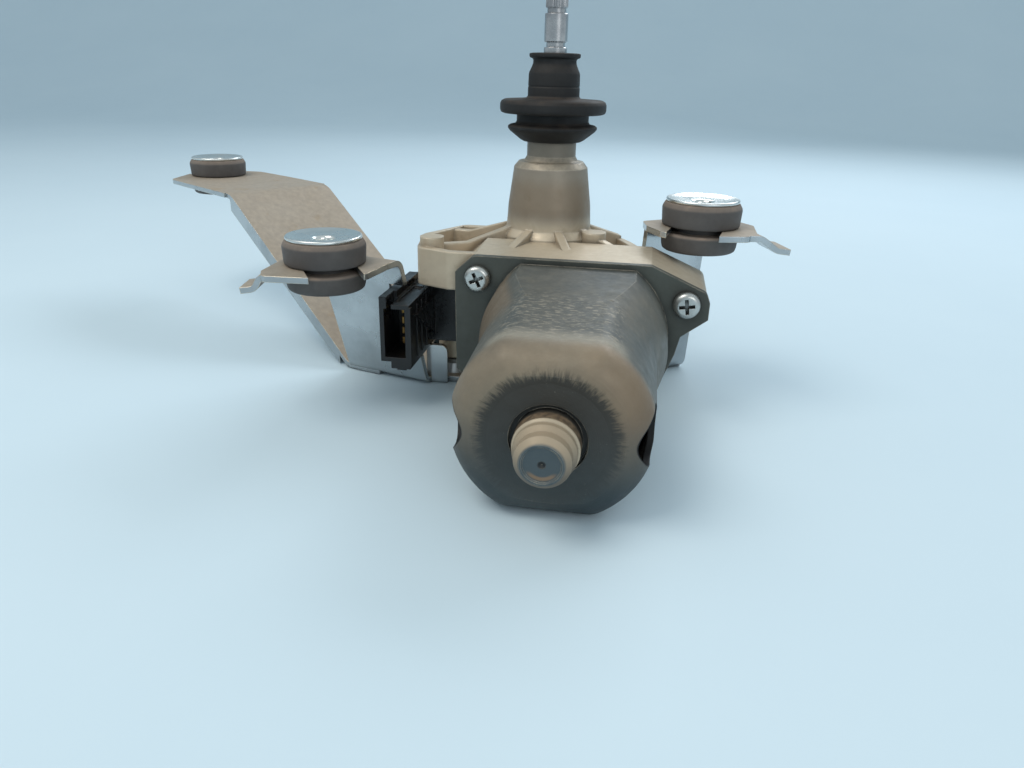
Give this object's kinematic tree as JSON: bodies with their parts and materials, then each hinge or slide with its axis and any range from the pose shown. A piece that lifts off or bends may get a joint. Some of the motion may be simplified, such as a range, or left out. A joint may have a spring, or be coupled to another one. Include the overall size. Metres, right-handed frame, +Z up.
{
  "type": "wiper motor",
  "caption": "Gear motor for a wiper, with a die-cast housing, a sealed upright output shaft and a bracket on rubber bushings.",
  "frame": {"origin": "where the output shaft's axis meets the flat underside of the bracket", "axes": "+Z up along the output shaft, -Y from the shaft towards the motor can's nose, +X to the right of someone who looks at the nose"},
  "size_m": [0.2837, 0.2393, 0.15],
  "materials": {
    "can_steel": "satin",
    "housing_alloy": "matte",
    "zinc_sheet": "satin",
    "zinc_fastener": "satin",
    "bright_washer": "polished",
    "rubber_grey": "matte",
    "rubber_black": "matte",
    "polished_steel": "polished",
    "black_plastic": "gloss",
    "plate_plastic": "matte",
    "gear_plastic": "matte",
    "gasket_paper": "matte",
    "bronze": "satin",
    "contact_brass": "satin",
    "copper": "satin",
    "carbon": "matte",
    "ferrite": "matte",
    "core_steel": "satin",
    "cover_steel": "satin"
  },
  "bodies": {
    "base": {"motor_can": "can_steel", "can_screws": "zinc_fastener", "gear_housing": "housing_alloy", "gear_cover": "cover_steel", "cover_gasket": "gasket_paper", "cover_screws": "zinc_fastener", "bracket_bolts": "zinc_fastener", "mounting_bracket": "zinc_sheet", "rubber_bushing_left": "rubber_grey", "rubber_bushing_right": "rubber_grey", "rubber_bushing_rear": "rubber_grey", "bushing_sleeve_left": "bright_washer", "bushing_sleeve_right": "bright_washer", "bushing_sleeve_rear": "bright_washer", "shaft_seal": "rubber_black", "lower_shaft_bush": "bronze", "upper_shaft_bush": "bronze", "brush_plate": "plate_plastic", "carbon_brushes": "carbon", "brush_springs": "polished_steel", "choke_coils": "copper", "connector_housing": "black_plastic", "connector_blades": "contact_brass", "front_bearing": "bronze", "nose_bearing": "bronze", "bearing_clip": "polished_steel", "worm_end_bush": "bronze", "thrust_screw": "zinc_fastener", "thrust_pad": "gear_plastic", "magnets": "ferrite", "magnet_clips": "polished_steel", "wheel_axle": "polished_steel", "axle_clip": "polished_steel", "contact_plate": "plate_plastic", "contact_springs": "contact_brass"},
    "armature": {"armature_shaft": "polished_steel", "armature_core": "core_steel", "armature_windings": "copper", "commutator": "copper"},
    "wheel": {"worm_wheel": "gear_plastic", "contact_disc": "contact_brass", "crank_pin": "polished_steel"},
    "sector": {"sector_gear": "core_steel"},
    "link": {"holding_link": "zinc_sheet", "link_pin": "polished_steel", "link_clip": "polished_steel"},
    "output": {"output_shaft": "polished_steel", "output_pinion": "core_steel", "shaft_circlip": "polished_steel", "thrust_washer": "polished_steel", "shaft_ring": "polished_steel"}
  },
  "joints": [
    {"name": "armature_spin", "type": "hinge", "parent": "base", "child": "armature", "pos_m": [0.015, 0, 0.03011], "axis": [0, -0.9986, -0.0523], "continuous": true},
    {"name": "wheel_spin", "type": "hinge", "parent": "base", "child": "wheel", "pos_m": [-0.014, 0.03, 0], "axis": [0, 0, 1], "continuous": true},
    {"name": "output_swing", "type": "hinge", "parent": "base", "child": "output", "pos_m": [0, 0, 0], "axis": [0, 0, -1], "range_deg": [0, 128.5]},
    {"name": "link_swing", "type": "hinge", "parent": "base", "child": "link", "pos_m": [0, 0, 0], "axis": [0, 0, -1], "range_deg": [0, 45]},
    {"name": "sector_swing", "type": "hinge", "parent": "link", "child": "sector", "pos_m": [-0.02073, -0.00333, 0], "axis": [0, 0, -1], "range_deg": [-46.7, 0]}
  ],
  "couplings": [
    {"joint": "wheel_spin", "follows": "armature_spin", "ratio": 0.020833},
    {"joint": "link_swing", "follows": "output_swing", "ratio": 0.34879},
    {"joint": "sector_swing", "follows": "output_swing", "ratio": -0.36179}
  ]
}
